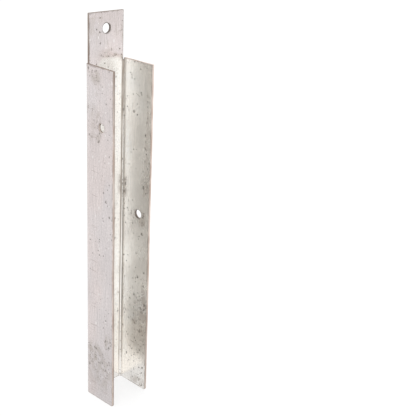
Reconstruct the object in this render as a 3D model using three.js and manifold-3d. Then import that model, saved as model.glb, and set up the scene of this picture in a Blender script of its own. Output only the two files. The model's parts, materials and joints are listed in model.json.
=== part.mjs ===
// A bracket that holds the end of a fence gravel board against a post. It is one piece of
// galvanised sheet steel: a straight channel with two cheeks folded from its web, and a flat
// screw tab that rises from the web above them.
// Millimetres, +Z up. The channel opens towards -Y, and the origin is the middle of the
// bounding box's bottom face.
import * as THREE from "three";
import { mergeVertices } from "three/addons/utils/BufferGeometryUtils.js";
import Module from "manifold-3d";

// Driving dimensions, in mm
const sheetThickness = 2;
const innerBendRadius = 2;
const channelHeight = 300;
const channelWidth = 41; // over both cheeks, which leaves 37 clear between them
const cheekDepth = 35; // from the web's back face to the cheeks' front edges
const footCornerRadius = 1.5; // on each cheek's bottom front corner
const tabHeight = 38;
const tabWidth = 35;
const reliefWidth = 1.2; // the round-ended nick beside each side of the tab, at the fold
const reliefDepth = 1.6;

// Punched holes. The tab's is on the middle line, and the cheeks' are at staggered heights.
const tabHole = { diameter: 8, belowTop: 13 };
const leftHole = { diameter: 7, belowTop: 47.5, fromFrontEdge: 14 };
const rightHole = { diameter: 7.5, belowTop: 130, fromFrontEdge: 13 };

// How finely round shapes are faceted
const bendCurveSegments = 4; // per quarter turn, doubled by the arc
const holeSides = 32;

// Places that follow from the dimensions
const halfWidth = channelWidth / 2;
const backY = cheekDepth / 2;
const frontY = -backY;
const outerBendRadius = innerBendRadius + sheetThickness;
const tabTopZ = channelHeight + tabHeight;
const punchLength = 4 * sheetThickness;

const wasm = await Module();
wasm.setup();

// Geometry to solid and back, for joining and cutting

function toSolid(geometry) {
  const bare = geometry.clone();
  bare.deleteAttribute("normal");
  bare.deleteAttribute("uv");
  const welded = mergeVertices(bare);
  return new wasm.Manifold(
    new wasm.Mesh({
      numProp: 3,
      vertProperties: new Float32Array(welded.attributes.position.array),
      triVerts: new Uint32Array(welded.index.array),
    }),
  );
}

function toGeometry(solid) {
  const mesh = solid.getMesh();
  const geometry = new THREE.BufferGeometry();
  geometry.setAttribute("position", new THREE.BufferAttribute(mesh.vertProperties, 3));
  geometry.setIndex(new THREE.BufferAttribute(mesh.triVerts, 1));
  geometry.computeVertexNormals();
  return geometry;
}

// Extrudes a shape drawn on the X-Y plane, then turns its own axes to the given directions
function extrude(shape, depth, xDirection, yDirection, zDirection) {
  const geometry = new THREE.ExtrudeGeometry(shape, {
    depth,
    bevelEnabled: false,
    curveSegments: bendCurveSegments,
  });
  const turn = new THREE.Matrix4().makeBasis(xDirection, yDirection, zDirection);
  return geometry.applyMatrix4(turn);
}

const alongX = new THREE.Vector3(1, 0, 0);
const alongY = new THREE.Vector3(0, 1, 0);
const alongZ = new THREE.Vector3(0, 0, 1);

// The channel's section on the X-Y plane: the outside from the left cheek's front edge round
// to the right cheek's, then the inside back again
function channelSection() {
  const bendX = halfWidth - outerBendRadius;
  const bendY = backY - outerBendRadius;
  const innerX = halfWidth - sheetThickness;
  const quarter = Math.PI / 2;
  const section = new THREE.Shape();
  section.moveTo(-halfWidth, frontY);
  section.lineTo(-halfWidth, bendY);
  section.absarc(-bendX, bendY, outerBendRadius, 2 * quarter, quarter, true);
  section.lineTo(bendX, backY);
  section.absarc(bendX, bendY, outerBendRadius, quarter, 0, true);
  section.lineTo(halfWidth, frontY);
  section.lineTo(innerX, frontY);
  section.lineTo(innerX, bendY);
  section.absarc(bendX, bendY, innerBendRadius, 0, quarter, false);
  section.lineTo(-bendX, backY - sheetThickness);
  section.absarc(-bendX, bendY, innerBendRadius, quarter, 2 * quarter, false);
  section.lineTo(-innerX, frontY);
  section.closePath();
  return section;
}

// A cheek's outline seen from the side, on the Y-Z plane, with its bottom front corner round
function cheekOutline() {
  const r = footCornerRadius;
  const outline = new THREE.Shape();
  outline.moveTo(backY, 0);
  outline.lineTo(backY, channelHeight);
  outline.lineTo(frontY, channelHeight);
  outline.lineTo(frontY, r);
  outline.absarc(frontY + r, r, r, Math.PI, 1.5 * Math.PI, false);
  outline.closePath();
  return outline;
}

function channel() {
  const folded = extrude(channelSection(), channelHeight, alongX, alongY, alongZ);
  const trim = extrude(cheekOutline(), channelWidth, alongY, alongZ, alongX);
  trim.translate(-halfWidth, 0, 0);
  return toSolid(folded).intersect(toSolid(trim));
}

// The tab is one sheet with the web: it runs down into the web by its own overlap
function screwTab() {
  const overlap = 2 * sheetThickness;
  const plate = new THREE.BoxGeometry(tabWidth, sheetThickness, tabHeight + overlap);
  plate.translate(0, backY - sheetThickness / 2, tabTopZ - (tabHeight + overlap) / 2);
  return toSolid(plate);
}

// Cutters

function roundPunch(diameter) {
  return new THREE.CylinderGeometry(diameter / 2, diameter / 2, punchLength, holeSides);
}

function webPunch(diameter, x, z) {
  return toSolid(roundPunch(diameter).translate(x, backY - sheetThickness / 2, z));
}

// The nick beside the tab: a short slot with a round end, cut down from the channel's top
function reliefCutter(side) {
  const x = side * (tabWidth / 2 + reliefWidth / 2);
  const endZ = channelHeight - reliefDepth + reliefWidth / 2;
  const slot = new THREE.BoxGeometry(reliefWidth, punchLength, channelHeight - endZ + punchLength);
  slot.translate(x, backY, endZ + (channelHeight - endZ + punchLength) / 2);
  return toSolid(slot).add(webPunch(reliefWidth, x, endZ));
}

function cheekPunch(hole, side) {
  const punch = roundPunch(hole.diameter).rotateZ(Math.PI / 2);
  const x = side * (halfWidth - sheetThickness / 2);
  return toSolid(punch.translate(x, frontY + hole.fromFrontEdge, channelHeight - hole.belowTop));
}

function bracket() {
  const left = -1;
  const right = 1;
  let solid = channel().add(screwTab());
  for (const side of [left, right]) {
    solid = solid.subtract(reliefCutter(side));
  }
  solid = solid.subtract(webPunch(tabHole.diameter, 0, tabTopZ - tabHole.belowTop));
  solid = solid.subtract(cheekPunch(leftHole, left));
  solid = solid.subtract(cheekPunch(rightHole, right));
  return toGeometry(solid);
}

const galvanisedSteel = new THREE.MeshStandardMaterial({
  color: 0xd6d0c9,
  metalness: 0.9,
  roughness: 0.35,
  flatShading: true,
});

const bracketMesh = new THREE.Mesh(bracket(), galvanisedSteel);
bracketMesh.name = "folded_bracket";

const part = new THREE.Group();
part.name = "gravel_board_bracket";
part.add(bracketMesh);

export default part;
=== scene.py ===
import json
import math

import bpy
import numpy as np
from mathutils import Matrix, Vector
from mathutils.geometry import delaunay_2d_cdt


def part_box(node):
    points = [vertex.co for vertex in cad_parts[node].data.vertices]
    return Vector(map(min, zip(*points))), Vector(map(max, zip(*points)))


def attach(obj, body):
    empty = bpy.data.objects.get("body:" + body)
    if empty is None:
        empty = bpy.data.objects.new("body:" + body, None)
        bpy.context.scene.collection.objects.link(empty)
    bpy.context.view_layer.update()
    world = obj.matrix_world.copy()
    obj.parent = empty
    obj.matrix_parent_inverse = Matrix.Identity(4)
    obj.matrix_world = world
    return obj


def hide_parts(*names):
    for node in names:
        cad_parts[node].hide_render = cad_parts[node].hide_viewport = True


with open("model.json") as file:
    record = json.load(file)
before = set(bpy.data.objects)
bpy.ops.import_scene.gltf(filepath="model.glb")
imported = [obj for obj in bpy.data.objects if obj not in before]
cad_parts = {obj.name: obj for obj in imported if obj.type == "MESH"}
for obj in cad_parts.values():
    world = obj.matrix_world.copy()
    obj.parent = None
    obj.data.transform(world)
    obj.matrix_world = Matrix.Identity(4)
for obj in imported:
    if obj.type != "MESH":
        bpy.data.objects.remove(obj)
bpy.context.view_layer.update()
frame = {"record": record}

# A galvanised bracket for the end of a gravel board: a channel folded from one flat blank, with
# a screw tab above its web. The blank is meshed flat, where a point is (across, up) in mm, and
# then folded: +Z is up, the channel opens towards -Y, and the right cheek is at +X.

MM = 0.001
NODE = "folded_bracket"
BOX_LOW, BOX_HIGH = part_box(NODE)

# The sheet and its folds, in mm. The overall sizes come from the frame.
THICKNESS = 2.0
INNER_BEND = 2.0
TAB_HEIGHT = 38.0
TAB_WIDTH = 35.0
RELIEF_WIDTH = 1.2
RELIEF_DEPTH = 1.6
FOOT_CORNER = 1.5
SHARP_CORNER = 0.4
HALF_WIDTH = BOX_HIGH.x / MM
BACK_Y = BOX_HIGH.y / MM
FRONT_Y = BOX_LOW.y / MM
TOP_Z = BOX_HIGH.z / MM
CHANNEL_TOP = TOP_Z - TAB_HEIGHT
MIDDLE_BEND = INNER_BEND + THICKNESS / 2
FLAT_HALF = HALF_WIDTH - INNER_BEND - THICKNESS
BEND_Y = BACK_Y - INNER_BEND - THICKNESS
BEND_LENGTH = MIDDLE_BEND * math.pi / 2
CHEEK_START = FLAT_HALF + BEND_LENGTH
CHEEK_LENGTH = BEND_Y - FRONT_Y
BLANK_HALF = CHEEK_START + CHEEK_LENGTH

# The heights over which the outermost strip of the web, bent in the channel, turns flat for the
# tab, which is a little wider than the web's flat
FLATTENING = (CHANNEL_TOP - 4, CHANNEL_TOP + 1)

# Hole diameters, in mm. Their places are the middles of the record's openings.
HOLES = {"tab_hole": 8.0, "left_cheek_hole": 7.0, "right_cheek_hole": 7.5}

# The cut edge's section, from the outer face to the inner: how far in from the rim, and the
# depth below the outer face. The punch rolls the outer face over and leaves the inner one sharp.
EDGE_INSET = 0.3
EDGE_SECTION = [
    (EDGE_INSET, 0.0), (0.17, 0.02), (0.08, 0.07), (0.02, 0.17), (0.0, 0.32), (0.02, 0.9),
    (0.05, 1.45), (0.03, 1.8), (0.03, 1.93), (0.07, 1.98), (0.14, THICKNESS),
    (EDGE_INSET, THICKNESS),
]

# Mesh steps, in mm
FLAT_STEP = 1.8
HEIGHT_STEP = 2.2
RIM_STEP = 1.5
GUARD = 0.5  # from the rolled-over rim to the next line of mesh points
GRID_CLEAR = EDGE_INSET + 1.6 * GUARD  # from the rim to the even grid of mesh points
MERGE_GAP = 1e-6

# Mesh counts
BEND_STEPS = 9
HOLE_SIDES = 44
ARC_STEPS = 6

# The small errors of a hand-folded bracket, in mm: how far each cheek's front edge leans along
# +X, at the foot and at the top, and the height of the ripple that rolling leaves in the sheet
LEFT_LEAN = (0.8, -1.1)
RIGHT_LEAN = (0.4, 0.25)
RIPPLE = 0.12
RIPPLE_SEED = 4
RIPPLE_WAVES = 7
WEB_RIPPLE_SHARE = 0.6  # the web is stiffer than the cheeks

# The mesh's material slots
ZINC_SLOT = 0
EDGE_SLOT = 1


# ---------------------------------------------------------------- node helpers

class Graph:
    """Short names for making nodes. A value is a number, a vector, a colour or a node's output."""

    def __init__(self, tree):
        self.tree = tree

    def add(self, kind, **settings):
        node = self.tree.nodes.new(kind)
        for name, value in settings.items():
            setattr(node, name, value)
        return node

    def feed(self, socket, value):
        if isinstance(value, bpy.types.NodeSocket):
            self.tree.links.new(value, socket)
        elif isinstance(value, tuple) and socket.type == "RGBA":
            socket.default_value = (*value, 1)
        else:
            socket.default_value = value

    def math(self, operation, *values):
        node = self.add("ShaderNodeMath", operation=operation)
        for socket, value in zip(node.inputs, values):
            self.feed(socket, value)
        return node.outputs["Value"]

    def chain(self, operation, values):
        total = values[0]
        for value in values[1:]:
            total = self.math(operation, total, value)
        return total

    def times(self, *values):
        return self.chain("MULTIPLY", values)

    def plus(self, *values):
        return self.chain("ADD", values)

    def most(self, *values):
        return self.chain("MAXIMUM", values)

    def minus(self, first, second):
        return self.math("SUBTRACT", first, second)

    def line(self, value, slope, start):
        """start + slope * value."""
        return self.math("MULTIPLY_ADD", value, slope, start)

    def vector(self, operation, *values):
        node = self.add("ShaderNodeVectorMath", operation=operation)
        for socket, value in zip(node.inputs, values):
            self.feed(socket, value)
        return node.outputs["Vector"]

    def scale(self, value, factor):
        node = self.add("ShaderNodeVectorMath", operation="SCALE")
        self.feed(node.inputs[0], value)
        self.feed(node.inputs["Scale"], factor)
        return node.outputs["Vector"]

    def dot(self, first, second):
        node = self.add("ShaderNodeVectorMath", operation="DOT_PRODUCT")
        self.feed(node.inputs[0], first)
        self.feed(node.inputs[1], second)
        return node.outputs["Value"]

    def joined(self, x, y):
        node = self.add("ShaderNodeCombineXYZ")
        self.feed(node.inputs["X"], x)
        self.feed(node.inputs["Y"], y)
        return node.outputs["Vector"]

    def ramp(self, value, low, high, at_low=0.0, at_high=1.0):
        """Goes smoothly from at_low to at_high while the value goes from low to high."""
        node = self.add("ShaderNodeMapRange", interpolation_type="SMOOTHSTEP")
        for name, number in (("Value", value), ("From Min", low), ("From Max", high),
                             ("To Min", at_low), ("To Max", at_high)):
            self.feed(node.inputs[name], number)
        return node.outputs["Result"]

    def mix(self, share, first, second):
        node = self.add("ShaderNodeMix", data_type="RGBA")
        self.feed(node.inputs["Factor"], share)
        self.feed(node.inputs[6], first)
        self.feed(node.inputs[7], second)
        return node.outputs[2]

    def cells(self, where, size, seed, stretch):
        """Pattern coordinates: size mm to a unit, pulled longer by stretch, in a place of their own."""
        place_apart = self.vector("ADD", where, (17.3 * seed, 29.9 * seed, 0.0))
        shrink = (1 / (size * stretch[0]), 1 / (size * stretch[1]), 1.0)
        return self.vector("MULTIPLY", place_apart, shrink)

    def noise(self, where, size, seed, detail=2.0, stretch=(1, 1)):
        """Noise from 0 to 1 with blotches about size mm across."""
        node = self.add("ShaderNodeTexNoise", noise_dimensions="2D")
        self.feed(node.inputs["Vector"], self.cells(where, size, seed, stretch))
        self.feed(node.inputs["Scale"], 1.0)
        self.feed(node.inputs["Detail"], detail)
        return node.outputs["Fac"]

    def jitter(self, where, size, seed, reach):
        """A push of up to about reach mm that changes over size mm."""
        node = self.add("ShaderNodeTexNoise", noise_dimensions="2D")
        self.feed(node.inputs["Vector"], self.cells(where, size, seed, (1, 1)))
        self.feed(node.inputs["Scale"], 1.0)
        centred = self.vector("SUBTRACT", node.outputs["Color"], (0.5, 0.5, 0.5))
        return self.scale(centred, reach)

    def specks(self, where, size, seed, share, radius, stretch=(1, 1)):
        """Dots of random size. share is the part of the cells, size mm wide, that hold one."""
        node = self.add("ShaderNodeTexVoronoi", voronoi_dimensions="2D")
        self.feed(node.inputs["Vector"], self.cells(where, size, seed, stretch))
        self.feed(node.inputs["Scale"], 1.0)
        chance = self.add("ShaderNodeSeparateColor")
        self.feed(chance.inputs["Color"], node.outputs["Color"])
        chosen = self.math("LESS_THAN", chance.outputs["Red"], share)
        growth = self.line(chance.outputs["Green"], 0.8, 0.5)
        gap = self.math("DIVIDE", node.outputs["Distance"], growth)
        return self.times(chosen, self.ramp(gap, 0.5 * radius, radius, 1.0, 0.0))

    def blot(self, across, up, middle, reach):
        """A soft oval mark round its middle, in mm on the blank."""
        a = self.math("DIVIDE", self.minus(across, middle[0]), reach[0])
        b = self.math("DIVIDE", self.minus(up, middle[1]), reach[1])
        gap = self.plus(self.times(a, a), self.times(b, b))
        return self.ramp(gap, 0.0, 1.0, 1.0, 0.0)


# ---------------------------------------------------------------- camera, floor and lights

# The view: from the front left and a little above, rolled by about 3 degrees. Places are in mm.
CAMERA_EYE = (-427.9, -485.1, 445.0)
CAMERA_TARGET = (106.6, -4.5, 152.3)
CAMERA_ROLL = 3.12
CAMERA_LENS = 72.5
SENSOR_WIDTH = 36

# The studio's soft panels, which the bright metal mirrors: azimuth, elevation and brightness
PANELS = [
    (0, -20, 0.18),
    (45, -5, 0.40),
    (90, 15, 0.24),
    (135, -20, 0.32),
    (180, -20, 0.24),
    (225, -20, 0.26),
    (270, 15, 0.22),
    (315, -20, 0.58),
]
PANEL_SPREAD = 50  # degrees from a panel's middle to where its light ends
SKY = 1.0
GROUND = 0.54
HORIZON = (-0.05, -0.005)  # the heights between which the ground's light turns into the sky's

FLOOR_HALF = 40.0  # metres from the floor's middle to its sides
FLOOR_GREY = 0.3
FLOOR_GLOW = 0.75


def place(obj):
    bpy.context.scene.collection.objects.link(obj)
    return obj


def add_camera():
    eye = Vector(CAMERA_EYE) * MM
    target = Vector(CAMERA_TARGET) * MM
    roll = math.radians(CAMERA_ROLL)
    data = bpy.data.cameras.new("camera")
    data.sensor_width = SENSOR_WIDTH
    data.lens = CAMERA_LENS
    camera = place(bpy.data.objects.new("camera", data))
    back = (eye - target).normalized()
    level = Vector((0, 0, 1)).cross(back).normalized()
    upright = back.cross(level)
    right = math.cos(roll) * level + math.sin(roll) * upright
    up = math.cos(roll) * upright - math.sin(roll) * level
    turn = Matrix((right, up, back)).transposed().to_4x4()
    camera.matrix_world = Matrix.Translation(eye) @ turn
    bpy.context.scene.camera = camera


def compass_direction(azimuth, elevation):
    """A unit vector: azimuth 0 is the open front, 90 the right cheek's side, 180 the back."""
    turn = math.radians(azimuth)
    rise = math.radians(elevation)
    return (math.sin(turn) * math.cos(rise), -math.cos(turn) * math.cos(rise), math.sin(rise))


def add_surroundings():
    """A white sky over a greyer ground, with soft panels round the bracket."""
    world = bpy.data.worlds.new("studio")
    world.use_nodes = True
    graph = Graph(world.node_tree)
    direction = graph.add("ShaderNodeTexCoord").outputs["Generated"]
    light = graph.ramp(graph.dot(direction, (0, 0, 1)), *HORIZON, GROUND, SKY)
    for azimuth, elevation, brightness in PANELS:
        facing = graph.dot(direction, compass_direction(azimuth, elevation))
        glow = graph.ramp(facing, math.cos(math.radians(PANEL_SPREAD)), 1, 0.0, brightness)
        light = graph.plus(light, glow)
    background = world.node_tree.nodes["Background"]
    background.inputs["Color"].default_value = (1, 1, 1, 1)
    graph.feed(background.inputs["Strength"], light)
    bpy.context.scene.world = world
    bpy.context.scene.view_settings.view_transform = "Standard"


def add_floor():
    """A plain pale floor. The metal mirrors the studio's light instead of it."""
    half = FLOOR_HALF
    mesh = bpy.data.meshes.new("floor")
    corners = [(-half, -half, 0), (half, -half, 0), (half, half, 0), (-half, half, 0)]
    mesh.from_pydata(corners, [], [(0, 1, 2, 3)])
    floor = place(bpy.data.objects.new("floor", mesh))
    floor.visible_glossy = False
    material = bpy.data.materials.new("floor")
    material.use_nodes = True
    shader = material.node_tree.nodes["Principled BSDF"]
    shader.inputs["Base Color"].default_value = (FLOOR_GREY, FLOOR_GREY, FLOOR_GREY, 1)
    shader.inputs["Roughness"].default_value = 1.0
    shader.inputs["Specular IOR Level"].default_value = 0.0
    shader.inputs["Emission Color"].default_value = (1, 1, 1, 1)
    shader.inputs["Emission Strength"].default_value = FLOOR_GLOW
    mesh.materials.append(material)


# ---------------------------------------------------------------- the flat blank

class Rim:
    """Walks along a cut edge of the flat blank and keeps its points, as (across, up) in mm."""

    def __init__(self, start):
        self.points = [start]

    def line(self, end):
        start = np.array(self.points[-1])
        steps = max(1, round(float(np.hypot(*(np.array(end) - start))) / RIM_STEP))
        for i in range(1, steps + 1):
            self.points.append(tuple(start + (np.array(end) - start) * i / steps))

    def arc(self, centre, radius, first, last, steps=ARC_STEPS):
        for i in range(1, steps + 1):
            angle = math.radians(first + (last - first) * i / steps)
            across = centre[0] + radius * math.cos(angle)
            up = centre[1] + radius * math.sin(angle)
            self.points.append((across, up))


def blank_outline():
    """The blank's outline, anticlockwise: its right half, then the same mirrored."""
    edge, sharp, foot, side = BLANK_HALF, SHARP_CORNER, FOOT_CORNER, TAB_WIDTH / 2
    slot, slot_end = side + RELIEF_WIDTH, CHANNEL_TOP - RELIEF_DEPTH + RELIEF_WIDTH / 2
    rim = Rim((0.0, 0.0))
    rim.line((edge - foot, 0.0))
    rim.arc((edge - foot, foot), foot, -90, 0)
    rim.line((edge, CHANNEL_TOP - sharp))
    rim.arc((edge - sharp, CHANNEL_TOP - sharp), sharp, 0, 90)
    rim.line((slot + sharp, CHANNEL_TOP))
    rim.arc((slot + sharp, CHANNEL_TOP - sharp), sharp, 90, 180)
    rim.line((slot, slot_end))
    rim.arc((side + RELIEF_WIDTH / 2, slot_end), RELIEF_WIDTH / 2, 0, -180, 2 * ARC_STEPS)
    rim.line((side, TOP_Z - sharp))
    rim.arc((side - sharp, TOP_Z - sharp), sharp, 0, 90)
    rim.line((0.0, TOP_Z))
    right = rim.points
    left = [(-across, up) for across, up in reversed(right[1:-1])]
    return np.array(right + left)


def opening_middle(name):
    for opening in frame["record"]["physics"]["openings"]:
        if opening["name"] == name:
            low, high = opening["box_m"]
            return [(a + b) / 2 / MM for a, b in zip(low, high)]
    raise KeyError(name)


def hole_on_blank(name):
    """A hole's middle on the blank: (across, up)."""
    x, y, z = opening_middle(name)
    if name == "tab_hole":
        return x, z
    side = math.copysign(1, x)
    return side * (CHEEK_START + BEND_Y - y), z


def hole_outline(name):
    """A hole's rim, clockwise, so that the metal is on the same hand as on the outline."""
    across, up = hole_on_blank(name)
    radius = HOLES[name] / 2
    angles = -np.linspace(0, 2 * np.pi, HOLE_SIDES, endpoint=False)
    return np.stack([across + radius * np.cos(angles), up + radius * np.sin(angles)], axis=1)


def outward(loop):
    """Each rim point's mitred direction out of the metal."""
    along = np.roll(loop, -1, axis=0) - loop
    normal = np.stack([along[:, 1], -along[:, 0]], axis=1)
    normal /= np.linalg.norm(normal, axis=1, keepdims=True)
    before = np.roll(normal, 1, axis=0)
    return (normal + before) / (1 + np.sum(normal * before, axis=1, keepdims=True))


def rim_gap(points, loops):
    """Each point's distance from the nearest rim."""
    gap = np.full(len(points), np.inf)
    for loop in loops:
        ends = np.roll(loop, -1, axis=0)
        for start, end in zip(loop, ends):
            step = end - start
            share = np.clip((points - start) @ step / (step @ step), 0, 1)
            gap = np.minimum(gap, np.linalg.norm(points - start - share[:, None] * step, axis=1))
    return gap


def in_metal(points):
    across, up = np.abs(points[:, 0]), points[:, 1]
    inside = (across < BLANK_HALF) & (up > 0) & (up < CHANNEL_TOP)
    inside |= (across < TAB_WIDTH / 2) & (up > 0) & (up < TOP_Z)
    for name, diameter in HOLES.items():
        inside &= np.linalg.norm(points - np.array(hole_on_blank(name)), axis=1) > diameter / 2
    return inside


def columns():
    """Where the grid's lines stand across the blank: close in the bends, wider on the flats."""
    web = np.linspace(0, FLAT_HALF, round(FLAT_HALF / FLAT_STEP) + 1)
    bend = np.linspace(FLAT_HALF, CHEEK_START, BEND_STEPS + 1)
    cheek = np.linspace(CHEEK_START, BLANK_HALF, round(CHEEK_LENGTH / FLAT_STEP) + 1)
    half = np.concatenate([web, bend[1:], cheek[1:-1]])
    return np.concatenate([-half[:0:-1], half])


def inner_grid(outlines):
    """The even grid of mesh points, as far as it is clear of every rim."""
    rows = np.arange(HEIGHT_STEP / 2, TOP_Z, HEIGHT_STEP)
    grid = np.array([(across, up) for up in rows for across in columns()])
    grid = grid[in_metal(grid)]
    return grid[rim_gap(grid, outlines) > GRID_CLEAR]


def flat_mesh(outlines):
    """Triangulates the blank's face. Returns its points and triangles, and for each outline its
    first point's number, the outline itself and its points' directions out of the metal."""
    points, edges, rims = [], [], []
    first = 0
    for outline in outlines:
        direction = outward(outline)
        count = len(outline)
        points.append(outline - direction * EDGE_INSET)
        edges += [(first + i, first + (i + 1) % count) for i in range(count)]
        rims.append((first, outline, direction))
        first += count
    for outline in outlines:
        points.append(outline - outward(outline) * (EDGE_INSET + GUARD))
    points.append(inner_grid(outlines))
    points = np.concatenate(points)
    inside_only = 1
    made = delaunay_2d_cdt([Vector(p) for p in points], edges, [], inside_only, MERGE_GAP)
    source = [origins[0] for origins in made[3]]
    triangles = np.array([[source[i] for i in face] for face in made[2]])
    for first, outline, _ in rims[1:]:
        on_rim = (triangles >= first) & (triangles < first + len(outline))
        triangles = triangles[~on_rim.all(axis=1)]  # what fills the hole goes
    a, b, c = (points[triangles[:, i]] for i in range(3))
    turn = np.cross(b - a, c - a)
    triangles[turn < 0] = triangles[turn < 0][:, ::-1]
    return points, triangles, rims


# ---------------------------------------------------------------- folding it

def smooth(value, low, high):
    t = np.clip((value - low) / (high - low), 0, 1)
    return t * t * (3 - 2 * t)


def fold(across, up, depth):
    """Blank to bracket, in mm. depth is measured from the outer face towards the inner."""
    out = THICKNESS / 2 - depth
    side = np.sign(across)
    reach = np.abs(across)
    turn = np.clip((reach - FLAT_HALF) / MIDDLE_BEND, 0, math.pi / 2)
    flat = np.where(reach < FLAT_HALF, reach, FLAT_HALF)
    run = np.maximum(reach - CHEEK_START, 0)
    radius = MIDDLE_BEND + out
    x = side * (flat + radius * np.sin(turn))
    y = BEND_Y + radius * np.cos(turn) - run
    plain_y = BACK_Y - THICKNESS / 2 + out
    straight = (reach <= TAB_WIDTH / 2) * smooth(up, *FLATTENING)
    x = x + (across - x) * straight
    y = y + (plain_y - y) * straight
    return x, y, up


def ripple(across, up):
    """A few slow waves over the sheet, as left by rolling and folding."""
    rng = np.random.default_rng(RIPPLE_SEED)
    total = 0 * across
    for _ in range(RIPPLE_WAVES):
        long = rng.uniform(45, 170)
        wide = rng.uniform(22, 80)
        slant = rng.uniform(-1, 1)
        phase = rng.uniform(0, 2 * math.pi)
        height = rng.uniform(0.4, 1)
        total = total + height * np.sin(2 * math.pi * (up / long + slant * across / wide) + phase)
    return RIPPLE * total / 3


def lean(ends, up):
    """How far a cheek's front edge leans at each height."""
    foot, top = ends
    return foot + (top - foot) * np.clip(up / CHANNEL_TOP, 0, 1)


def settle(across, up, x, y, z):
    """The small errors of a hand-folded bracket: cheeks that lean, and faces that ripple."""
    share = np.clip((np.abs(across) - CHEEK_START) / CHEEK_LENGTH, 0, 1)
    left = (across < 0) * share
    right = (across > 0) * share
    x = x + left * lean(LEFT_LEAN, up) + right * lean(RIGHT_LEAN, up)
    wave = ripple(across, up)
    on_cheek = smooth(np.abs(across), FLAT_HALF, CHEEK_START + 3)
    off_foot = smooth(up, 0, 12)
    x = x + wave * on_cheek * np.minimum(share * 2, 1)
    y = y + WEB_RIPPLE_SHARE * wave * (1 - on_cheek) * off_foot
    return x, y, z


def sheet_mesh(outlines):
    """The whole sheet, still on the blank: across, up and depth of each point, the faces, and
    each face's material slot. The outer face comes first, then the inner one, then the edges."""
    points, triangles, rims = flat_mesh(outlines)
    count = len(points)
    across = [points[:, 0], points[:, 0]]
    up = [points[:, 1], points[:, 1]]
    depth = [np.zeros(count), np.full(count, THICKNESS)]
    faces = [tuple(t) for t in triangles]
    faces += [tuple(t[::-1] + count) for t in triangles]
    slots = [ZINC_SLOT] * len(faces)
    total = 2 * count
    for first, outline, direction in rims:
        n = len(outline)
        rings = [first + np.arange(n)]
        for inset, below in EDGE_SECTION[1:-1]:
            ring = outline - direction * inset
            across.append(ring[:, 0])
            up.append(ring[:, 1])
            depth.append(np.full(n, below))
            rings.append(total + np.arange(n))
            total += n
        rings.append(count + first + np.arange(n))
        for upper, lower in zip(rings[:-1], rings[1:]):
            for i in range(n):
                j = (i + 1) % n
                faces.append((upper[j], upper[i], lower[i], lower[j]))
                slots.append(EDGE_SLOT)
    return np.concatenate(across), np.concatenate(up), np.concatenate(depth), faces, slots


def write_attribute(mesh, name, values):
    attribute = mesh.attributes.new(name, "FLOAT", "POINT")
    attribute.data.foreach_set("value", values.astype(np.float32))


def build_bracket():
    """The folded sheet. Its attributes say where on the sheet a point is, for the materials."""
    outlines = [blank_outline()] + [hole_outline(name) for name in HOLES]
    across, up, depth, faces, slots = sheet_mesh(outlines)
    xyz = settle(across, up, *fold(across, up, depth))
    mesh = bpy.data.meshes.new("bracket_sheet")
    corners = (np.stack(xyz, axis=1) * MM).tolist()
    mesh.from_pydata(corners, [], [tuple(int(i) for i in face) for face in faces])
    mesh.polygons.foreach_set("material_index", slots)
    mesh.polygons.foreach_set("use_smooth", [True] * len(faces))

    flat = np.stack([across, up], axis=1)
    far = 50  # mm from a rim, past which the distance tells the materials nothing more
    on_hole_rim = rim_gap(flat, outlines[1:]) < EDGE_INSET + 0.1
    write_attribute(mesh, "across", across)
    write_attribute(mesh, "up", up)
    write_attribute(mesh, "inner", depth / THICKNESS)
    write_attribute(mesh, "rim", np.minimum(rim_gap(flat, outlines), far))
    write_attribute(mesh, "punched", on_hole_rim)

    layer = mesh.uv_layers.new(name="sheet")
    corner = np.empty(len(mesh.loops), int)
    mesh.loops.foreach_get("vertex_index", corner)
    layer.data.foreach_set("uv", (flat[corner] * MM).ravel())
    piece = place(bpy.data.objects.new("galvanised_bracket", mesh))
    piece.modifiers.new("even_normals", "WEIGHTED_NORMAL").keep_sharp = True
    return piece


# ---------------------------------------------------------------- materials

# Colours, as linear reflectances
ZINC = (0.905, 0.885, 0.855)  # in the channel, brighter than outside: painted reflected light from the cheeks
ZINC_LOW = (0.92, 0.89, 0.85)  # in the channel near its foot, with the same painted reflected light
COOL = (0.765, 0.712, 0.708)  # outside, and the same where it is scuffed warm
WARM = (0.785, 0.71, 0.695)
BRIGHT = (0.97, 0.96, 0.94)
DIRT = (0.16, 0.14, 0.12)
# also the colour of the painted shade at the tab's foot
HAZE_AND_SHADE = (0.54, 0.485, 0.44)
SCRATCH = (0.42, 0.34, 0.31)
# painted shade in the folds' inner creases
FOLD_CREASE_SHADE = (0.40, 0.345, 0.295)
EDGE_DARK = (0.40, 0.32, 0.275)
EDGE_LIGHT = (0.53, 0.46, 0.415)
EDGE_BURNISH = 1.35  # how much brighter the edge's outer third is, where the shear pressed it
FACE_GAP = 97.0  # mm between the outer face's pattern and the inner one's

# Smudges, and on the tab some painted shade: the middle, the reach to where they end, and how strong
# they are. The first number is
# mm across the face: on a cheek from its hole, towards the web on the left cheek and away from it
# on the right one, and on the tab from the middle line. The second is the height.
LEFT_SMUDGES = [
    ((4, 252), (5, 17), 0.9),
    ((13, 264), (10, 8), 0.55),
    ((11, 248), (8, 16), 0.45),
    ((7, 291), (8, 8), 0.9),
    ((14, 296), (8, 7), 0.7),
    ((5, 281), (4, 6), 0.6),
    ((9, 44), (16, 15), 0.9),
    ((0, 30), (24, 26), 0.6),
    ((-8, 62), (7, 10), 0.7),
]
RIGHT_SMUDGES = [
    ((5, 166), (6, 9), 0.9),
    ((-1.6, 170), (5, 5.5), 1.0),
    ((9, 240), (4, 60), 0.5),
    ((7, 196), (6, 10), 0.8),
    ((-6, 160), (5, 12), 0.5),
    ((8, 76), (6, 36), 0.9),
    ((-2, 66), (5, 8), 0.9),
    ((2, 72), (11, 24), 0.45),
    ((-19, 190), (6.5, 18), 0.95),
    ((6, 5), (16, 7), 0.8),
]
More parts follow.
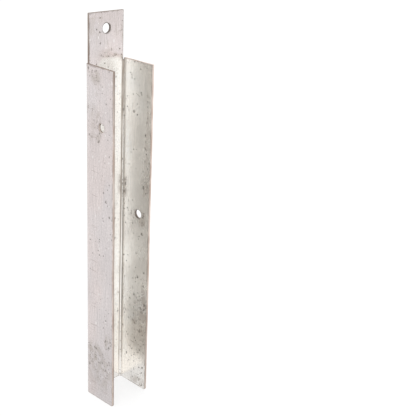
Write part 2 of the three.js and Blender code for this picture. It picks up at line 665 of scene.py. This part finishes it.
TAB_SMUDGES_AND_SHADE = [
    ((17, 323), (3, 12), 1.0),
    # painted shade in the corners at the tab's feet, by the relief slots
    ((17, 301), (4, 4), 1.0),
    ((-17, 301), (3, 4), 0.7),
    ((-12, 328), (7, 9), 0.5),
    ((6, 306), (12, 4), 0.5),
    ((-2, 293), (14, 9), 0.45),
    ((-11, 333.5), (9, 1.0), 0.9),
    # a thin painted shadow line along the tab's foot, where it meets the brighter web
    ((5, 303), (14, 1.3), 1.0),
]


class Sheet:
    """Where a point is on the bracket's sheet, for the materials' nodes."""

    def __init__(self, graph):
        self.across, self.up, self.inner, self.rim, self.punched = (
            graph.add("ShaderNodeAttribute", attribute_name=name).outputs["Fac"]
            for name in ("across", "up", "inner", "rim", "punched")
        )
        self.where = graph.joined(graph.line(self.inner, FACE_GAP, self.across), self.up)
        self.reach = graph.math("ABSOLUTE", self.across)
        self.inside = graph.ramp(self.inner, 0.4, 0.6)
        self.outside = graph.ramp(self.inner, 0.4, 0.6, 1.0, 0.0)
        self.right = graph.ramp(self.across, FLAT_HALF, CHEEK_START)
        self.left = graph.ramp(self.across, -CHEEK_START, -FLAT_HALF, 1.0, 0.0)
        self.web = graph.ramp(self.reach, FLAT_HALF, CHEEK_START, 1.0, 0.0)
        self.below_tab = graph.ramp(self.up, CHANNEL_TOP - 2, CHANNEL_TOP, 1.0, 0.0)


def start_material(name):
    material = bpy.data.materials.new(name)
    material.use_nodes = True
    graph = Graph(material.node_tree)
    shader = material.node_tree.nodes["Principled BSDF"]
    return material, graph, shader, Sheet(graph)


def channel_lining(graph, sheet):
    """The channel's inside, from 0 to 1, where reflected light is painted brighter. Its top end on the
    web slopes down towards the left, along the edge of that painted reflection.
    """
    rise = graph.times(sheet.web, graph.ramp(sheet.across, -14, -3, -9.0, 1.5))
    level = graph.minus(sheet.up, rise)
    return graph.times(sheet.inside, graph.ramp(level, CHANNEL_TOP - 2, CHANNEL_TOP + 2, 1.0, 0.0))


def inner_painted_light(graph, sheet):
    """The inner side's painted light and shade, as a brightness about 1: highest along the folds, lower
    towards the cheeks' front edges."""
    reach, up = sheet.reach, sheet.up
    front = graph.ramp(reach, CHEEK_START + 3, CHEEK_START + 25)
    middle = graph.ramp(reach, CHEEK_START - 2, CHEEK_START + 18)
    sloped = graph.line(reach, 0.8, up)
    start = 44 + 0.8 * CHEEK_START
    low = graph.times(graph.ramp(sloped, start, start + 16), graph.ramp(up, 66, 120, 0.27, 0.0))
    high = graph.times(graph.ramp(up, 90, 130), graph.ramp(up, 200, 260, 0.27, 0.18))
    painted_dim = graph.most(graph.times(middle, low), graph.times(front, high))
    cloud = graph.blot(sheet.across, up, (CHEEK_START + 18, 292), (17, 42))
    darker = graph.plus(painted_dim, graph.times(cloud, 0.13))

    by_height = graph.plus(graph.ramp(up, 240, 290, 0.04, 0.08), graph.ramp(up, 30, 75, -0.07, 0.0))
    web_top = graph.times(sheet.web, sheet.below_tab, graph.ramp(up, 250, 295, 0.0, 0.05))
    web_low = graph.times(sheet.web, graph.ramp(up, 95, 155, 0.10, 0.0))
    by_fold = graph.times(sheet.right, graph.ramp(reach, CHEEK_START + 6, CHEEK_START + 20, 1.0, 0.0))
    heights = graph.times(graph.ramp(up, 185, 225), graph.ramp(up, 258, 284, 1.0, 0.1))
    lighter = graph.plus(by_height, web_top, web_low, graph.times(by_fold, heights, 0.06))
    return graph.line(graph.minus(lighter, darker), sheet.inside, 1.0)


def clean_colour(graph, sheet, cloud, grain, lined):
    """The zinc before anything marks it: creamy and brighter in the channel, where reflected light is
    painted, cooler and scuffed elsewhere, and with the inner side's painted light and shade.
    """
    reach, up = sheet.reach, sheet.up
    streak = graph.noise(sheet.where, 1.0, 2, 2, (1, 22))
    tone = graph.line(graph.minus(cloud, 0.5), graph.line(lined, 0.16, 0.16), 1.0)
    tone = graph.plus(tone, graph.line(streak, 0.24, -0.12), graph.line(grain, 0.24, -0.12))
    foot_tone = graph.line(graph.ramp(up, 44, 60, -0.07, 0.0), sheet.outside, 1.0)
    tab_tone = graph.ramp(up, 288, 332, 1.0, 0.81)
    tone = graph.times(tone, foot_tone, tab_tone, inner_painted_light(graph, sheet))

    clean = graph.ramp(reach, CHEEK_START + 12, CHEEK_START + 26)
    warmth = graph.line(clean, -0.14, graph.noise(sheet.where, 40, 4, 2, (1, 1.5)))
    rubbed = graph.mix(graph.ramp(warmth, 0.34, 0.58), COOL, WARM)
    # painted reflected light: the channel's zinc is brighter than outside
    channel_lit_colour = graph.mix(graph.ramp(up, 40, 105), ZINC_LOW, ZINC)
    return graph.scale(graph.mix(lined, rubbed, channel_lit_colour), tone)


def smudges_and_painted_shade(graph, sheet):
    """Where the zinc is smudged, and on the tab where shade is painted, from 0 to 1."""
    left_hole = hole_on_blank("left_cheek_hole")
    right_hole = hole_on_blank("right_cheek_hole")
    groups = [
        (LEFT_SMUDGES, left_hole[0], graph.times(sheet.left, sheet.outside)),
        (RIGHT_SMUDGES, right_hole[0], graph.times(sheet.right, sheet.inside)),
        (TAB_SMUDGES_AND_SHADE, 0.0, sheet.inside),
    ]
    marks = []
    for group, start, face in groups:
        for (across, up), reach, strength in group:
            blot = graph.blot(sheet.across, sheet.up, (start + across, up), reach)
            marks.append(graph.times(blot, face, strength))
    return graph.most(*marks)


def tab_streaks(graph, sheet):
    """Fine plumb scuffs in patches on the tab's front."""
    tab = graph.times(sheet.inside, graph.ramp(sheet.up, CHANNEL_TOP + 6, CHANNEL_TOP + 14))
    lines = graph.ramp(graph.noise(sheet.where, 1.1, 25, 1, (1, 11)), 0.55, 0.70)
    worn = graph.ramp(graph.noise(sheet.where, 11, 26, 1, (1, 1.6)), 0.42, 0.58)
    return graph.times(tab, lines, worn, 0.5)


def fold_crease_shade(graph, sheet):
    """Painted shade in each fold's inner crease, where the zinc is also rougher: a dark line where the
    bend starts, a fainter one farther round it, and a band beside the first that is darker and wider
    higher up."""
    reach, up = sheet.reach, sheet.up
    lines = []
    foot = graph.ramp(up, 8, 26, 0.3, 1.0)
    fading = graph.ramp(up, 120, 200, 0.45, 0.15)
    for middle, width, strength in ((FLAT_HALF + 0.3, 1.1, 0.95), (FLAT_HALF + 3.4, 1.0, fading)):
        gap = graph.math("ABSOLUTE", graph.minus(reach, middle))
        lines.append(graph.times(graph.ramp(gap, 0.3 * width, width, 1.0, 0.0), strength, foot))
    start = graph.ramp(reach, FLAT_HALF + 0.2, FLAT_HALF + 1.0)
    widening = graph.ramp(up, 230, 285, 0.0, 1.1)
    end = graph.ramp(graph.minus(reach, widening), CHEEK_START - 3.4, CHEEK_START - 2.2, 1.0, 0.0)
    band = graph.times(start, end, graph.ramp(up, 110, 210, 0.25, 1.0))
    patchy = graph.ramp(graph.noise(sheet.where, 7, 51, 2, (1, 3)), 0.3, 0.6, 0.75, 1.0)
    return graph.times(graph.most(*lines, band), patchy, sheet.inside, sheet.below_tab)


def scratches(graph, sheet):
    """Short thin scratches, level and plumb, in patches. They are fainter on the inner side."""
    sway = graph.times(graph.noise(sheet.where, 26, 31, 1), 2.5)
    moved = graph.vector("ADD", sheet.where, graph.scale((0.5, 1.0, 0.0), sway))
    level = graph.specks(moved, 1.0, 32, 0.07, 0.36, (15, 0.8))
    plumb = graph.specks(moved, 1.0, 33, 0.07, 0.36, (0.8, 14))
    patches = graph.ramp(graph.noise(sheet.where, 34, 34, 1), 0.34, 0.54)
    patches = graph.times(patches, graph.ramp(sheet.reach, CHEEK_START + 14, CHEEK_START + 24, 1.0, 0.3))
    foot = graph.times(graph.ramp(sheet.up, 48, 62, 1.0, 0.0), sheet.outside)
    lines = graph.most(graph.times(level, graph.most(patches, foot)), graph.times(plumb, patches))
    return graph.times(lines, graph.ramp(sheet.inner, 0.4, 0.6, 0.5, 0.22))


def specks_of_dirt(graph, sheet, lined, smudge_and_shade):
    """Small and large dark specks, and dirt along the rims. They crowd together in clusters, in smudged
    places and the painted shade at the tab's foot, on the cheeks' inner faces, and most of all low on
    the right one."""
    where, up = sheet.where, sheet.up
    clusters = graph.ramp(graph.noise(where, 30, 21, 2, (1, 1.6)), 0.44, 0.62)
    ragged_at = graph.vector("ADD", where, graph.jitter(where, 1.6, 24, 1.8))
    lined_cheek = graph.times(lined, graph.minus(1.0, sheet.web))
    dotted = graph.line(lined_cheek, 0.05, 0.04)
    low = graph.times(lined, sheet.right, graph.ramp(up, 90, 140, 1.0, 0.0))
    low = graph.times(low, graph.ramp(sheet.reach, CHEEK_START + 4, CHEEK_START + 16, 0.4, 1.0))

    crowd = graph.line(low, 0.20, graph.line(clusters, dotted, 0.011))
    crowd = graph.most(crowd, graph.times(smudge_and_shade, 0.45))
    darkness = graph.line(sheet.inside, 0.22, 0.6)
    small = graph.times(graph.specks(ragged_at, 1.7, 11, crowd, 0.36, (1, 1.3)), darkness)

    spread = graph.line(low, 0.05, graph.line(clusters, dotted, 0.01))
    spread = graph.most(spread, graph.times(smudge_and_shade, 0.32))
    large = graph.times(graph.specks(ragged_at, 4.2, 12, spread, 0.26, (1, 1.4)), 0.65)

    ragged = graph.ramp(graph.noise(where, 4, 23, 2), 0.40, 0.62)
    rim = graph.times(graph.ramp(sheet.rim, 0.4, 1.4, 1.0, 0.0), ragged, 0.5)
    return graph.most(small, large, rim)


def zinc_material():
    """Bright zinc: cloudy and streaked, with scratches, specks, smudged patches, painted shade at the
    tab's foot and in the folds' creases, and painted light in the channel and on the inner side.
    """
    material, graph, shader, sheet = start_material("zinc")
    where = sheet.where
    cloud = graph.noise(where, 22, 1, 3, (1, 1.7))
    grain = graph.noise(where, 1.3, 3, 2, (1, 1.4))
    lined = channel_lining(graph, sheet)

    light_marks = graph.times(graph.specks(where, 4, 15, 0.16, 0.20, (1, 1.8)), 0.5)
    smudge_and_shade = smudges_and_painted_shade(graph, sheet)
    soft = graph.ramp(graph.noise(where, 5, 22, 3, (1, 1.6)), 0.34, 0.62)
    haze_and_shade = graph.times(smudge_and_shade, soft, 0.75)
    scratched = scratches(graph, sheet)
    crease_shade = fold_crease_shade(graph, sheet)
    dirt = specks_of_dirt(graph, sheet, lined, smudge_and_shade)

    colour = clean_colour(graph, sheet, cloud, grain, lined)
    colour = graph.mix(light_marks, colour, BRIGHT)
    colour = graph.mix(haze_and_shade, colour, HAZE_AND_SHADE)
    colour = graph.mix(tab_streaks(graph, sheet), colour, HAZE_AND_SHADE)
    colour = graph.mix(scratched, colour, SCRATCH)
    colour = graph.mix(crease_shade, colour, FOLD_CREASE_SHADE)
    colour = graph.mix(dirt, colour, DIRT)
    graph.feed(shader.inputs["Base Color"], colour)
    shader.inputs["Metallic"].default_value = 1.0

    roughness = graph.line(graph.most(dirt, haze_and_shade, crease_shade), 0.2, graph.line(cloud, 0.16, 0.16))
    graph.feed(shader.inputs["Roughness"], roughness)

    bump = graph.add("ShaderNodeBump")
    bump.inputs["Strength"].default_value = 0.3
    bump.inputs["Distance"].default_value = 0.05 * MM
    graph.feed(bump.inputs["Height"], graph.minus(grain, graph.times(scratched, 0.5)))
    graph.feed(shader.inputs["Normal"], bump.outputs["Normal"])
    return material


def cut_edge_material():
    """The sheared edge: bare steel, browned, with painted shade inside the punched holes and painted
    light and shade along the other edges.
    """
    material, graph, shader, sheet = start_material("cut_edge")
    along = graph.joined(graph.times(sheet.inner, THICKNESS), graph.plus(sheet.up, sheet.across))
    patches = graph.ramp(graph.noise(along, 16, 41, 3), 0.30, 0.70)
    lines = graph.noise(along, 0.8, 42, 2)
    burnish = graph.ramp(sheet.inner, 0.25, 0.5, EDGE_BURNISH, 1.0)

    # Painted light and shade on the cut edges: the right cheek's edge lighter higher up, the other edges
    # darker near the top.
    lighter = graph.times(sheet.right, graph.ramp(sheet.up, 60, 130, 0.08, 0.28))
    off_right = graph.minus(1.0, sheet.right)
    dimmer = graph.times(off_right, graph.ramp(sheet.up, 235, 285, 0.0, 0.28))
    edge_painted_light = graph.plus(1.0, graph.minus(lighter, dimmer))
    # Painted shade inside the holes: darkest in the right cheek's hole, lightest in the left cheek's.
    hole_wall_shade = graph.line(sheet.right, -0.15, graph.line(sheet.left, 0.4, 0.5))
    punched_wall_shade = graph.ramp(sheet.punched, 0.4, 0.6, 1.0, hole_wall_shade)

    tone = graph.times(graph.line(lines, 0.4, 0.80), burnish, edge_painted_light, punched_wall_shade)
    colour = graph.scale(graph.mix(patches, EDGE_DARK, EDGE_LIGHT), tone)
    graph.feed(shader.inputs["Base Color"], colour)
    graph.feed(shader.inputs["Roughness"], graph.line(lines, 0.3, 0.35))
    shader.inputs["Metallic"].default_value = 0.8
    return material


add_camera()
add_surroundings()
add_floor()
bracket = build_bracket()
bracket.data.materials.append(zinc_material())
bracket.data.materials.append(cut_edge_material())
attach(bracket, "root")
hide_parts(NODE)
